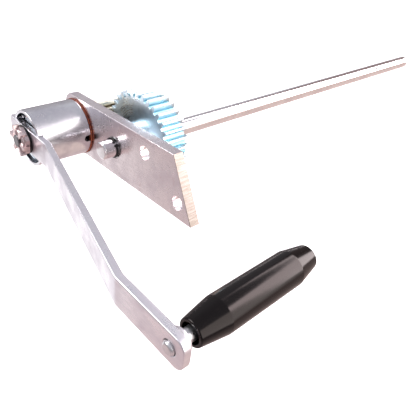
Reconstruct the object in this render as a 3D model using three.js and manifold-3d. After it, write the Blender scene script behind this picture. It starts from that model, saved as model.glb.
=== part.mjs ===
// Hand crank drive: a brake cup with a crank arm on one side of a mounting plate,
// and a spur gear pair that turns a long output shaft on the other side.
// Millimetres, +Z up. The plate stands in the XZ plane and every shaft runs along Y.
// The origin lies on the gear side of the plate, midway between its two bolt holes.
import * as THREE from 'three';
import { mergeVertices } from 'three/addons/utils/BufferGeometryUtils.js';
import Module from 'manifold-3d';

const wasm = await Module();
wasm.setup();

// ---------- driving dimensions ----------

const GAP = 0.3;                     // clearance between neighbouring pieces
const CUP_ROUND = 64;                // facets on the brake cup
const ROUND = 40;                    // facets on shafts and bores
const FINE_ROUND = 24;               // facets on small turned surfaces

const PLATE = { thickness: 9.5, top: 27, bottom: -27.5, topLeft: -143.5, topRight: 14.8, slant: 24.2, corner: 5 };
const BOLT_HOLE = { radius: 6.2, x: 21.5, z: 13.2 };
const BUSH = { outer: 9.8, inner: 8.3, endGap: 0.2 };

const GEAR_MODULE = 2.54;            // ten diametral pitch
const PRESSURE_ANGLE = THREE.MathUtils.degToRad(20);
const TOOTH_THINNING = 0.3;          // taken off each tooth's thickness for running clearance
const GEAR = { teeth: 34, tip: 45.72, root: 40.1, hub: 17.5, hubStart: 2.1, start: 16.8, width: 23.2 };
const GEAR_TOOTH_TURN = THREE.MathUtils.degToRad(7.26);
const PINION = { teeth: 14, tip: 20.32, root: 14.7, start: 2.4, width: 39 };
const CENTRES = GEAR_MODULE * (GEAR.teeth + PINION.teeth) / 2;

const OUTPUT = { x: -66.5, z: 0, radius: 8, front: -22.8, back: 535.5, chamfer: 1.1 };
const CROSS_HOLE = { radius: 2.2, y: 439.5, turn: THREE.MathUtils.degToRad(52) };
const CLIP_TURN = THREE.MathUtils.degToRad(-50);
const SHAFT_CLIP = { y: -11.4, thickness: 1, outer: 9.2, lug: 1.7, groove: 0.6 };
const GEAR_CLIP_Y = GEAR.start + GEAR.width + 0.5;
const THRUST_WASHER = { outer: 13, start: 0.3, end: 1.7 };

const CRANK_DROP = 2.0;              // crank axis below the output axis
const CRANK_X = OUTPUT.x - Math.sqrt(CENTRES ** 2 - CRANK_DROP ** 2);
const CRANK_Z = OUTPUT.z - CRANK_DROP;
const CRANK_TURN = THREE.MathUtils.degToRad(3.26);

const CUP = { outerFront: 25.7, outerBack: 26.2, inner: 22.8, front: -60, floor: -55.5, web: 5, back: -11.4 };
const CUP_NOTCH = { halfWidth: 3.1, depth: 6.2, z: -0.4 };
const LINING = { outer: 26.6, inner: 22.9, front: -11.1, back: -9.8 };
const SLEEVE = { outer: 17, inner: 11.2, front: -47, back: -9.8 };
const SLEEVE_SCREW = { count: 3, circle: 14.2, shank: 1.8, head: 3, headDepth: 3.4, socket: 1.7, length: 18 };
const SPRING = { coil: 19.6, wire: 2.4, turns: 7, pitch: 4.2, start: -13.6 };
const RELEASE_PINS = [
  { x: -12.5, z: 15.3, hole: 2.8, radius: 1.4 },
  { x: -4.6, z: 18.7, hole: 2.4, radius: 1.4 },
];

const SPINDLE = { body: 10.8, journal: 8, shoulder: -12, square: 14, squareCorner: 9.1, thread: 6 };
const SPINDLE_THREAD_END = -70.8;
const COTTER = { y: -66.9, radius: 0.9, reach: 11.8 };
const PINION_CLIP_Y = PINION.start + PINION.width + 0.6;
const SPINDLE_END = PINION_CLIP_Y + 4;
const KEY = { width: 4, height: 4, length: 20, pinionStart: 10, gearStart: 14 };

const ARM = { width: 24, thickness: 6, outerFace: -62, headEnd: -28.5, bendRadius: 12, endCorner: 7 };
const ARM_PATH = { firstBend: 37, secondBend: 201, endFace: -102.5, end: 265 };
const ARM_WASHER = { outer: 13.1, thickness: 0.9 };
const NUT = { corner: 13.6, cone: 1.2, crown: 10.4, crownEdge: 0.6, height: 5.6, crownHeight: 1.6, slotHalf: 1.7 };
const NUT_TURN = THREE.MathUtils.degToRad(-20);
const COTTER_TURN = NUT_TURN - Math.PI / 3;

const GRIP = { radius: 253, cylinder: 13.2, nearRadius: 9.6, farRadius: 9.2, bore: 5.2, spindle: 4.9 };
const GRIP_NEAR = ARM_PATH.endFace + 15.6;
const GRIP_FAR = GRIP_NEAR + 109.5;
const GRIP_CONES = { near: 22, far: 20.3 };
const GRIP_EDGES = { near: 0.8, far: 0.5 };
const COLLAR = { radius: 8.4, thickness: 3.6, edge: 0.7 };
const RIVET = { radius: 4.3, height: 2, edge: 0.8 };
const GRIP_POCKET = { radius: 7.4, near: 8, far: 14 };
const SPINDLE_TAIL = { radius: 3, length: 4.2, reach: 7 };
const GRIP_WASHER = { outer: 6.6, bore: 3.3, start: 2.9, thickness: 1.4 };
const GRIP_CLIP = { inner: 3.1, outer: 4.6, start: 5, thickness: 0.9, lug: 1.1 };
const GRIP_CAP = { wall: 1.4, disc: 2.6, depth: 4.6, edgeStart: 0.4, edge: 1.2, edgeRise: 0.3, crown: 0.5 };

// ---------- shared helpers ----------

const FINISHES = {
  zinc: { color: 0xb9bcc0, roughness: 0.42, metalness: 0.85 },
  gearZinc: { color: 0xa9b9c2, roughness: 0.35, metalness: 0.9 },
  brightSteel: { color: 0xd5d6d8, roughness: 0.22, metalness: 0.95 },
  lining: { color: 0xb0563a, roughness: 0.6, metalness: 0.25 },
  bronze: { color: 0xa8783c, roughness: 0.45, metalness: 0.8 },
  blackSteel: { color: 0x1c1c1e, roughness: 0.5, metalness: 0.6 },
  blackPlastic: { color: 0x151515, roughness: 0.3, metalness: 0.0 },
};

function toManifold(geometry) {
  const bare = geometry.clone();
  bare.deleteAttribute('normal');
  bare.deleteAttribute('uv');
  const welded = mergeVertices(bare, 1e-5);
  return new wasm.Manifold(new wasm.Mesh({
    numProp: 3,
    vertProperties: new Float32Array(welded.attributes.position.array),
    triVerts: new Uint32Array(welded.index.array),
  }));
}

function toGeometry(solid) {
  const mesh = solid.getMesh();
  const geometry = new THREE.BufferGeometry();
  geometry.setAttribute('position', new THREE.BufferAttribute(mesh.vertProperties, 3));
  geometry.setIndex(new THREE.BufferAttribute(mesh.triVerts, 1));
  geometry.computeVertexNormals();
  return geometry;
}

function cut(base, ...tools) {
  let solid = toManifold(base);
  for (const tool of tools) {
    solid = solid.subtract(toManifold(tool));
  }
  return toGeometry(solid);
}

function join(base, ...others) {
  let solid = toManifold(base);
  for (const other of others) {
    solid = solid.add(toManifold(other));
  }
  return toGeometry(solid);
}

function trim(base, keep) {
  return toGeometry(toManifold(base).intersect(toManifold(keep)));
}

// A solid turned about the Y axis. Each profile point is [radius, y].
// Profiles run anticlockwise when radius points right and y points up.
function turned(profile, segments = ROUND) {
  return new THREE.LatheGeometry(profile.map(([r, y]) => new THREE.Vector2(r, y)), segments);
}

function rod(radius, front, back, segments = FINE_ROUND) {
  return turned([[0, front], [radius, front], [radius, back], [0, back]], segments);
}

function tube(outer, inner, front, back, segments = ROUND) {
  return turned([[inner, front], [outer, front], [outer, back], [inner, back], [inner, front]], segments);
}

// A shape drawn in X and Z, pushed along Y from `front` to `back`.
function prism(shape, front, back, curveSegments = 6) {
  const geometry = new THREE.ExtrudeGeometry(shape, {
    depth: back - front,
    bevelEnabled: false,
    curveSegments,
  });
  geometry.rotateX(Math.PI / 2);
  geometry.translate(0, back, 0);
  return geometry;
}

function box(x0, x1, y0, y1, z0, z1) {
  const geometry = new THREE.BoxGeometry(x1 - x0, y1 - y0, z1 - z0);
  geometry.translate((x0 + x1) / 2, (y0 + y1) / 2, (z0 + z1) / 2);
  return geometry;
}

function at(geometry, x, z) {
  geometry.translate(x, 0, z);
  return geometry;
}

function regularPolygon(sides, radius, turn = 0) {
  return Array.from({ length: sides }, (_, index) => {
    const angle = turn + index * 2 * Math.PI / sides;
    return [radius * Math.cos(angle), radius * Math.sin(angle)];
  });
}

function polygonShape(points) {
  return new THREE.Shape(points.map(([x, z]) => new THREE.Vector2(x, z)));
}

function involute(angle) {
  return Math.tan(angle) - angle;
}

// Half the angle a tooth fills at a given radius, for an involute spur tooth.
function toothHalfAngle(teeth, radius) {
  const pitchRadius = GEAR_MODULE * teeth / 2;
  const baseRadius = pitchRadius * Math.cos(PRESSURE_ANGLE);
  const halfAtPitch = Math.PI / (2 * teeth) - TOOTH_THINNING / (2 * pitchRadius);
  const flankAngle = Math.acos(Math.min(1, baseRadius / Math.max(radius, baseRadius)));
  return halfAtPitch + involute(PRESSURE_ANGLE) - involute(flankAngle);
}

// The outline of a spur gear; `phase` turns its first tooth away from +X towards +Z.
function spurShape({ teeth, tip, root }, phase) {
  const flankSteps = 4;
  const points = [];
  for (let tooth = 0; tooth < teeth; tooth += 1) {
    const centre = phase + tooth * 2 * Math.PI / teeth;
    const rising = [];
    const falling = [];
    for (let step = 0; step <= flankSteps; step += 1) {
      const radius = root + (tip - root) * step / flankSteps;
      const half = toothHalfAngle(teeth, radius);
      rising.push([radius * Math.cos(centre - half), radius * Math.sin(centre - half)]);
      falling.unshift([radius * Math.cos(centre + half), radius * Math.sin(centre + half)]);
    }
    points.push(...rising, ...falling);
  }
  return polygonShape(points);
}

// The pinion's tooth phase that puts its gaps over the gear's teeth.
function pinionPhase(gearPhase) {
  const towardsGear = Math.atan2(OUTPUT.z - CRANK_Z, OUTPUT.x - CRANK_X);
  const gearPitch = 2 * Math.PI / GEAR.teeth;
  const ahead = (gearPhase - (towardsGear + Math.PI)) / gearPitch;
  const toothPastLine = ahead - Math.floor(ahead);
  const pinionPitch = 2 * Math.PI / PINION.teeth;
  return towardsGear - toothPastLine * pinionPitch + pinionPitch / 2;
}

// ---------- fixed pieces ----------

function mountingPlate() {
  const { thickness, top, bottom, topLeft, topRight, slant, corner } = PLATE;
  const shape = new THREE.Shape();
  shape.moveTo(topLeft + corner, top);
  shape.quadraticCurveTo(topLeft, top, topLeft - corner * slant / (top - bottom), top - corner);
  shape.lineTo(topLeft - slant, bottom);
  shape.lineTo(topRight + slant, bottom);
  shape.lineTo(topRight, top);
  const through = [-thickness - 1, 1];
  const holes = [
    at(rod(BOLT_HOLE.radius, ...through), -BOLT_HOLE.x, BOLT_HOLE.z),
    at(rod(BOLT_HOLE.radius, ...through), BOLT_HOLE.x, -BOLT_HOLE.z),
    at(rod(BUSH.outer + GAP, ...through, ROUND), OUTPUT.x, OUTPUT.z),
    at(rod(BUSH.outer + GAP, ...through, ROUND), CRANK_X, CRANK_Z),
  ];
  const { shank, head, headDepth } = SLEEVE_SCREW;
  for (const [x, z] of sleeveScrewPlaces()) {
    holes.push(at(rod(shank + GAP, ...through, 16), CRANK_X + x, CRANK_Z + z));
    holes.push(at(rod(head + GAP, -headDepth - GAP, 1, 20), CRANK_X + x, CRANK_Z + z));
  }
  return cut(prism(shape, -thickness, 0), ...holes);
}

function plateBush() {
  return tube(BUSH.outer, BUSH.inner, BUSH.endGap - PLATE.thickness, -BUSH.endGap);
}

function sleeveScrewPlaces() {
  return regularPolygon(SLEEVE_SCREW.count, SLEEVE_SCREW.circle, Math.PI / 2);
}

function sleeveScrew() {
  const { shank, head, headDepth, socket, length } = SLEEVE_SCREW;
  const blank = turned([
    [0, -length], [shank, -length], [shank, -headDepth], [head, -headDepth], [head, -GAP], [0, -GAP],
  ], 16);
  return cut(blank, prism(polygonShape(regularPolygon(6, socket)), -headDepth / 2, 1));
}

function brakeSleeve() {
  const { outer, inner, front, back } = SLEEVE;
  const { shank, length } = SLEEVE_SCREW;
  const pilots = sleeveScrewPlaces().map(([x, z]) => at(
    rod(shank + GAP, -length - 1, back + 1, 16), x, z));
  return cut(tube(outer, inner, front, back), ...pilots);
}

function frictionLining() {
  return tube(LINING.outer, LINING.inner, LINING.front, LINING.back, CUP_ROUND);
}

// ---------- brake cup and what turns with it ----------

function brakeCup() {
  const { outerFront, outerBack, inner, front, floor, web, back } = CUP;
  const rimChamfer = 0.6;
  const bore = SPINDLE.square / 2 - 1;
  const shell = turned([
    [bore, floor], [inner, floor], [inner, front], [outerFront - rimChamfer, front],
    [outerFront, front + rimChamfer], [outerBack, back], [inner, back], [inner, floor + web],
    [bore, floor + web], [bore, floor],
  ], CUP_ROUND);
  const reach = outerBack + 2;
  const slotHalf = ARM.width / 2 + GAP;
  const armSlot = box(-reach, reach, front - 2, floor, -slotHalf, slotHalf);
  const pinHoles = RELEASE_PINS.map(({ x, z, hole }) => at(
    rod(hole, floor - 1, floor + web + 1, 20), x, z));
  return cut(shell, armSlot, squareHole(floor - 1, floor + web + 1), ...pinHoles, cupNotch());
}

// The round-ended notch that opens at the cup's rear edge.
function cupNotch() {
  const { halfWidth, depth, z } = CUP_NOTCH;
  const roundEnd = CUP.back - depth + halfWidth;
  const x = [CUP.inner - 3, CUP.outerBack + 3];
  const round = rod(halfWidth, ...x, 20);
  round.rotateZ(-Math.PI / 2);
  round.translate(0, roundEnd, z);
  return join(round, box(...x, roundEnd, CUP.back + 1, z - halfWidth, z + halfWidth));
}

function squareHole(front, back) {
  const half = SPINDLE.square / 2 + GAP;
  return box(-half, half, front, back, -half, half);
}

function releasePin({ radius }) {
  const front = CUP.floor - 1.6;
  const back = SPRING.start - SPRING.turns * SPRING.pitch - SPRING.wire / 2 - 2 * GAP;
  const edge = 0.4;
  return turned([
    [0, front], [radius - edge, front], [radius, front + edge], [radius, back], [0, back],
  ], 16);
}

function wrapSpring() {
  const { coil, wire, turns, pitch, start } = SPRING;
  const stepsPerTurn = 20;
  const points = [];
  for (let step = 0; step <= turns * stepsPerTurn; step += 1) {
    const angle = step * 2 * Math.PI / stepsPerTurn;
    points.push(new THREE.Vector3(
      coil * Math.cos(angle), start - pitch * angle / (2 * Math.PI), coil * Math.sin(angle)));
  }
  return new THREE.ExtrudeGeometry(polygonShape(regularPolygon(4, wire * Math.SQRT1_2, Math.PI / 4)), {
    steps: turns * stepsPerTurn,
    extrudePath: new THREE.CatmullRomCurve3(points),
    bevelEnabled: false,
  });
}

function pinionSpindle() {
  const { body, journal, shoulder, square, squareCorner, thread } = SPINDLE;
  const half = square / 2;
  const bodyFront = CUP.floor + CUP.web + GAP;
  const squareEnd = ARM.outerFace + GAP;
  const threadRoot = squareEnd + 1;
  const turnedPart = turned([
    [0, threadRoot], [half - 1, threadRoot], [half - 1, bodyFront], [body, bodyFront],
    [body, shoulder], [journal, shoulder], [journal, SPINDLE_END], [0, SPINDLE_END],
  ]);
  const squarePart = trim(
    box(-half, half, squareEnd, bodyFront + 1, -half, half),
    rod(squareCorner, squareEnd, bodyFront + 1, ROUND));
  const threadPart = turned([
    [0, SPINDLE_THREAD_END], [thread - 1, SPINDLE_THREAD_END], [thread, SPINDLE_THREAD_END + 1],
    [thread, threadRoot], [0, threadRoot],
  ]);
  const cotterHole = crossBore(COTTER.radius + GAP, COTTER.y, thread + 2);
  cotterHole.rotateY(COTTER_TURN);
  return cut(join(turnedPart, squarePart, threadPart), cotterHole,
    keySeat(journal, KEY.pinionStart), clipGroove(journal, PINION_CLIP_Y, SHAFT_CLIP.thickness));
}

// A hole straight through a shaft, along Z.
function crossBore(radius, y, reach) {
  const hole = rod(radius, -reach, reach, 16);
  hole.rotateX(Math.PI / 2);
  hole.translate(0, y, 0);
  return hole;
}

function keySeat(shaftRadius, start) {
  const floor = shaftRadius - KEY.height / 2 - GAP;
  return box(floor, shaftRadius + 2, start - GAP, start + KEY.length + GAP, ...keySides(0.1));
}

function keyway(shaftRadius, front, back) {
  return box(0, shaftRadius + KEY.height / 2 + GAP / 2, front - 1, back + 1, ...keySides(0.1));
}

function keySides(clearance) {
  const half = KEY.width / 2 + clearance;
  return [-half, half];
}

function sunkKey(shaftRadius, start) {
  const half = KEY.height / 2;
  return box(shaftRadius - half, shaftRadius + half - GAP / 2, start, start + KEY.length, ...keySides(-0.15));
}

function clipGroove(shaftRadius, y, thickness) {
  return tube(shaftRadius + 2, shaftRadius - SHAFT_CLIP.groove, y - GAP, y + thickness + GAP);
}

function pinion() {
  const { start, width } = PINION;
  const end = start + width;
  const blank = prism(spurShape(PINION, pinionPhase(GEAR_TOOTH_TURN) + CRANK_TURN), start, end);
  return cut(blank, rod(BUSH.inner, start - 1, end + 1, ROUND), keyway(SPINDLE.journal, start, end));
}

// ---------- crank arm and its fastening ----------

// A flat bar that follows a bent centre line in X and Y; its width lies along Z.
function bentBar(corners, thickness, width, bendRadius) {
  const bendSteps = 5;
  const directions = corners.slice(1).map((corner, index) => corner.clone().sub(corners[index]).normalize());
  const stations = [[corners[0], directions[0]]];
  for (let index = 1; index < corners.length - 1; index += 1) {
    const before = directions[index - 1];
    const after = directions[index];
    const turn = Math.atan2(before.cross(after), before.dot(after));
    const setback = bendRadius * Math.tan(Math.abs(turn) / 2);
    const towardsCentre = new THREE.Vector2(-before.y, before.x).multiplyScalar(bendRadius * Math.sign(turn));
    const bendStart = corners[index].clone().addScaledVector(before, -setback);
    const centre = bendStart.clone().add(towardsCentre);
    for (let step = 0; step <= bendSteps; step += 1) {
      const angle = turn * step / bendSteps;
      stations.push([
        bendStart.clone().rotateAround(centre, angle),
        before.clone().rotateAround(new THREE.Vector2(), angle),
      ]);
    }
  }
  stations.push([corners[corners.length - 1], directions[directions.length - 1]]);
  const side = (offset) => stations.map(([point, direction]) => new THREE.Vector2(
    point.x - direction.y * offset, point.y + direction.x * offset));
  const outline = [...side(-thickness / 2), ...side(thickness / 2).reverse()];
  const geometry = new THREE.ExtrudeGeometry(new THREE.Shape(outline), { depth: width, bevelEnabled: false });
  geometry.translate(0, 0, -width / 2);
  return geometry;
}

function crankArm() {
  const { width, thickness, outerFace, headEnd, bendRadius } = ARM;
  const { firstBend, secondBend, endFace, end } = ARM_PATH;
  const headLine = outerFace + thickness / 2;
  const endLine = endFace + thickness / 2;
  const bar = bentBar([
    new THREE.Vector2(headEnd, headLine),
    new THREE.Vector2(firstBend, headLine),
    new THREE.Vector2(secondBend, endLine),
    new THREE.Vector2(end, endLine),
  ], thickness, width, bendRadius);
  const through = [endFace - 5, outerFace + thickness + 5];
  return cut(trim(bar, prism(armPlan(), ...through)), squareHole(...through),
    at(rod(GRIP.spindle + GAP, ...through), GRIP.radius, 0));
}

// The arm's outline seen along Y: oversized except for the rounded grip end.
function armPlan() {
  const { width, headEnd, endCorner } = ARM;
  const { end } = ARM_PATH;
  const half = width / 2;
  const spare = 1;
  const shape = new THREE.Shape();
  shape.moveTo(headEnd - spare, -half - spare);
  shape.lineTo(end - endCorner, -half - spare);
  shape.lineTo(end - endCorner, -half);
  shape.quadraticCurveTo(end, -half, end, -half + endCorner);
  shape.lineTo(end, half - endCorner);
  shape.quadraticCurveTo(end, half, end - endCorner, half);
  shape.lineTo(end - endCorner, half + spare);
  shape.lineTo(headEnd - spare, half + spare);
  return shape;
}

function armWasher() {
  const { outer, thickness } = ARM_WASHER;
  return tube(outer, SPINDLE.thread + GAP, ARM.outerFace - thickness - GAP, ARM.outerFace - GAP);
}

function castleNut() {
  const { corner, cone, crown, crownEdge, height, crownHeight, slotHalf } = NUT;
  const pastCorner = corner + 0.2;
  const back = ARM.outerFace - ARM_WASHER.thickness - 2 * GAP;
  const front = back - height;
  const crownStart = front + crownHeight;
  const blank = prism(polygonShape(regularPolygon(6, corner)), front, back);
  const envelope = turned([
    [0, front], [crown - crownEdge, front], [crown, front + crownEdge], [crown, crownStart],
    [corner - cone, crownStart], [pastCorner, crownStart + cone], [pastCorner, back], [0, back],
  ]);
  const slots = [0, 1, 2].map((index) => {
    const slot = box(-corner, corner, front - 1, COTTER.y + slotHalf, -slotHalf, slotHalf);
    slot.rotateY(Math.PI / 2 + index * Math.PI / 3);
    return slot;
  });
  return cut(trim(blank, envelope), rod(SPINDLE.thread + GAP, front - 1, back + 1), ...slots);
}

function cotterPin() {
  const { y, radius, reach } = COTTER;
  const shank = crossBore(radius, 0, reach);
  const eyeRadius = 1.3;
  const wireRadius = 0.7;
  const legLength = 3;
  const eye = new THREE.TorusGeometry(eyeRadius, wireRadius, 8, 16);
  eye.rotateY(Math.PI / 2);
  eye.translate(0, 0, reach + eyeRadius);
  const bentLeg = rod(radius, -legLength, 0, 12);
  bentLeg.translate(0, 0, radius - reach);
  const pin = join(shank, eye, bentLeg);
  pin.translate(0, y, 0);
  return pin;
}

// A snap ring whose mouth and eared ends face +X before it is turned about Y.
function circlip({ inner, outer, front, thickness, lug, turn }) {
  const ring = tube(outer, inner, front, front + thickness, FINE_ROUND);
  const mouthHalf = lug * 0.7;
  const mouth = box(0, outer + 2 * lug, front - 1, front + thickness + 1, -mouthHalf, mouthHalf);
  const lugs = [];
  const lugHoles = [];
  for (const side of [-1, 1]) {
    const z = side * (mouthHalf + lug * 0.8);
    lugs.push(at(rod(lug, front, front + thickness, 16), outer, z));
    lugHoles.push(at(rod(lug * 0.4, front - 1, front + thickness + 1, 10), outer + lug * 0.2, z));
  }
  const clip = cut(join(cut(ring, mouth), ...lugs), mouth, ...lugHoles);
  clip.rotateY(turn);
  return clip;
}

function shaftCirclip(y, turn) {
  const { thickness, outer, lug, groove } = SHAFT_CLIP;
  return circlip({ inner: OUTPUT.radius - groove / 2, outer, front: y, thickness, lug, turn });
}

// ---------- grip ----------

function gripSpindle() {
  const face = ARM_PATH.endFace;
  const { spindle } = GRIP;
  const { radius, height, edge } = RIVET;
  const tail = GRIP_FAR - GRIP_POCKET.far + SPINDLE_TAIL.reach;
  const tailStart = tail - SPINDLE_TAIL.length;
  return turned([
    [0, face - height], [radius - edge, face - height], [radius, face - height + edge], [radius, face - GAP],
    [spindle, face - GAP], [spindle, tailStart], [SPINDLE_TAIL.radius, tailStart], [SPINDLE_TAIL.radius, tail],
    [0, tail],
  ], FINE_ROUND);
}

function spindleCollar() {
  const { radius, thickness, edge } = COLLAR;
  const start = ARM_PATH.endFace + ARM.thickness + GAP;
  const end = start + thickness;
  const bore = GRIP.spindle + GAP;
  return turned([
    [bore, start], [radius, start], [radius, end - edge], [radius - edge, end], [bore, end], [bore, start],
  ], FINE_ROUND);
}

function gripSleeve() {
  const { cylinder, nearRadius, farRadius, bore } = GRIP;
  const { radius, near, far } = GRIP_POCKET;
  const bushSeat = bore + 2;
  return turned([
    [bushSeat, GRIP_NEAR + near], [radius, GRIP_NEAR + near], [radius, GRIP_NEAR],
    [nearRadius - GRIP_EDGES.near, GRIP_NEAR], [nearRadius, GRIP_NEAR + GRIP_EDGES.near],
    [cylinder, GRIP_NEAR + GRIP_CONES.near], [cylinder, GRIP_FAR - GRIP_CONES.far],
    [farRadius, GRIP_FAR - GRIP_EDGES.far], [farRadius - GRIP_EDGES.far, GRIP_FAR],
    [radius, GRIP_FAR], [radius, GRIP_FAR - far], [bushSeat, GRIP_FAR - far], [bushSeat, GRIP_NEAR + near],
  ]);
}

function gripBush() {
  const { near, far } = GRIP_POCKET;
  return tube(GRIP.bore + 2 - GAP, GRIP.bore, GRIP_NEAR + near + GAP, GRIP_FAR - far - GAP, FINE_ROUND);
}

function gripEndWasher() {
  const { outer, bore, thickness } = GRIP_WASHER;
  const start = GRIP_FAR - GRIP_POCKET.far + GAP + GRIP_WASHER.start;
  return tube(outer, bore, start, start + thickness, FINE_ROUND);
}

function gripCirclip() {
  const front = GRIP_FAR - GRIP_POCKET.far + GRIP_CLIP.start;
  return circlip({ ...GRIP_CLIP, front, turn: 0 });
}

function gripCap() {
  const { wall, disc, depth, edgeStart, edge, edgeRise, crown } = GRIP_CAP;
  const lip = GRIP_POCKET.radius - GAP;
  return turned([
    [0, GRIP_FAR - disc], [lip - wall, GRIP_FAR - disc], [lip - wall, GRIP_FAR - depth], [lip, GRIP_FAR - depth],
    [lip, GRIP_FAR - edgeStart], [lip - edge, GRIP_FAR + edgeRise], [0, GRIP_FAR + crown],
  ], FINE_ROUND);
}

// ---------- output side ----------

function outputShaft() {
  const { radius, front, back, chamfer } = OUTPUT;
  const blank = turned([
    [0, front], [radius - chamfer, front], [radius, front + chamfer], [radius, back - chamfer],
    [radius - chamfer, back], [0, back],
  ]);
  const crossHole = crossBore(CROSS_HOLE.radius, CROSS_HOLE.y, radius + 2);
  crossHole.rotateY(CROSS_HOLE.turn);
  return cut(blank, crossHole,
    clipGroove(radius, SHAFT_CLIP.y, SHAFT_CLIP.thickness),
    clipGroove(radius, GEAR_CLIP_Y, SHAFT_CLIP.thickness),
    keySeat(radius, KEY.gearStart));
}

function driveGear() {
  const { start, width, hub, hubStart } = GEAR;
  const end = start + width;
  const wheel = prism(spurShape(GEAR, GEAR_TOOTH_TURN), start, end);
  const hubPart = rod(hub, hubStart, start + 1, ROUND);
  return cut(join(wheel, hubPart), rod(BUSH.inner, hubStart - 1, end + 1, ROUND),
    keyway(OUTPUT.radius, hubStart, end));
}

function thrustWasher() {
  return tube(THRUST_WASHER.outer, BUSH.inner, THRUST_WASHER.start, THRUST_WASHER.end);
}

// ---------- assembly ----------

const group = new THREE.Group();
group.name = 'crank_drive';

function addGroup(parent, x, z, turn = 0) {
  const child = new THREE.Group();
  child.position.set(x, 0, z);
  child.rotation.y = turn;
  parent.add(child);
  return child;
}

function addNode(parent, name, geometry, finish) {
  const mesh = new THREE.Mesh(geometry, new THREE.MeshStandardMaterial(FINISHES[finish]));
  mesh.name = name;
  parent.add(mesh);
  return mesh;
}

const brakeAxis = addGroup(group, CRANK_X, CRANK_Z);
const crank = addGroup(group, CRANK_X, CRANK_Z, CRANK_TURN);
const grip = addGroup(crank, GRIP.radius, 0);
const output = addGroup(group, OUTPUT.x, OUTPUT.z);

addNode(group, 'mounting_plate', mountingPlate(), 'zinc');
addNode(output, 'shaft_bush', plateBush(), 'brightSteel');
addNode(brakeAxis, 'pinion_bush', plateBush(), 'brightSteel');
addNode(brakeAxis, 'friction_lining', frictionLining(), 'lining');
addNode(brakeAxis, 'brake_sleeve', brakeSleeve(), 'zinc');
for (const [index, [x, z]] of sleeveScrewPlaces().entries()) {
  addNode(brakeAxis, `sleeve_screw_${index + 1}`, sleeveScrew(), 'blackSteel').position.set(x, 0, z);
}

addNode(crank, 'brake_cup', brakeCup(), 'zinc');
for (const [index, pin] of RELEASE_PINS.entries()) {
  addNode(crank, `release_pin_${index + 1}`, releasePin(pin), 'brightSteel').position.set(pin.x, 0, pin.z);
}
addNode(crank, 'wrap_spring', wrapSpring(), 'blackSteel');
addNode(crank, 'pinion_spindle', pinionSpindle(), 'brightSteel');
addNode(crank, 'pinion', pinion(), 'gearZinc');
addNode(crank, 'pinion_key', sunkKey(SPINDLE.journal, KEY.pinionStart), 'brightSteel');
addNode(crank, 'pinion_circlip', shaftCirclip(PINION_CLIP_Y, 0), 'blackSteel');
addNode(crank, 'crank_arm', crankArm(), 'zinc');
addNode(crank, 'arm_washer', armWasher(), 'blackSteel');
addNode(crank, 'castle_nut', castleNut(), 'zinc').rotation.y = NUT_TURN;
addNode(crank, 'cotter_pin', cotterPin(), 'zinc').rotation.y = COTTER_TURN;

addNode(grip, 'grip_spindle', gripSpindle(), 'brightSteel');
addNode(grip, 'spindle_collar', spindleCollar(), 'zinc');
addNode(grip, 'grip_end_washer', gripEndWasher(), 'brightSteel');
addNode(grip, 'grip_circlip', gripCirclip(), 'blackSteel');
addNode(grip, 'grip_sleeve', gripSleeve(), 'blackPlastic');
addNode(grip, 'grip_bush', gripBush(), 'bronze');
addNode(grip, 'grip_cap', gripCap(), 'blackPlastic');

addNode(output, 'output_shaft', outputShaft(), 'brightSteel');
addNode(output, 'drive_gear', driveGear(), 'gearZinc');
addNode(output, 'gear_key', sunkKey(OUTPUT.radius, KEY.gearStart), 'brightSteel');
addNode(output, 'thrust_washer', thrustWasher(), 'bronze');
addNode(output, 'shaft_circlip', shaftCirclip(SHAFT_CLIP.y, CLIP_TURN), 'blackSteel');
addNode(output, 'gear_circlip', shaftCirclip(GEAR_CLIP_Y, 0), 'blackSteel');

export default group;
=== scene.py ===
"""Looks of the crank drive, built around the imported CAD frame.

Every visible CAD node is rebuilt here as a finer piece: eased edges, smooth turned surfaces, involute
teeth with fillets, and a procedural metal, plastic or lining material. Sizes are in millimetres and
each piece is placed on the axis and between the faces that the CAD node gives.
"""

import math

import bmesh
import bpy
from mathutils import Matrix, Vector
from mathutils.geometry import tessellate_polygon


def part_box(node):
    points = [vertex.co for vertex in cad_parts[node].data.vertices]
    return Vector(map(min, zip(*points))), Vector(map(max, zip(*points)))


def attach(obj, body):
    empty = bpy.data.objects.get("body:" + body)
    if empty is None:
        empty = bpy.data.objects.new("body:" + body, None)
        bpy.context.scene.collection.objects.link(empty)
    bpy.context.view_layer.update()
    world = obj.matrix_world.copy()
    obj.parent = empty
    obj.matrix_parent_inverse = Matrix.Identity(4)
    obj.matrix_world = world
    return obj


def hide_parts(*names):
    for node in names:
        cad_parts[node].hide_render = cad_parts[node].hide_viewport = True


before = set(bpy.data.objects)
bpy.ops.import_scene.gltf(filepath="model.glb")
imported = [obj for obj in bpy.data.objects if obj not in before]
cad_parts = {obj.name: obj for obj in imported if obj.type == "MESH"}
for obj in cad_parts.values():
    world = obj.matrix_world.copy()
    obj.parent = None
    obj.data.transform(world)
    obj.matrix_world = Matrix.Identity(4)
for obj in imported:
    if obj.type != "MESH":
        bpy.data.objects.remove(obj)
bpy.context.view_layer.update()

# ---------- sizes, in millimetres ----------

MM = 0.001
ROUND = 128                        # facets on large turned surfaces
SMALL_ROUND = 64                   # facets on small turned surfaces and holes
GAP = 0.3                          # clearance between neighbouring pieces
PAST = 2.0                         # how far most cutting tools stand out of the piece they cut
SHARP_ANGLE = math.radians(32)     # edges that turn more than this are shaded sharp
CRANK_TURN = math.radians(3.26)

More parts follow.
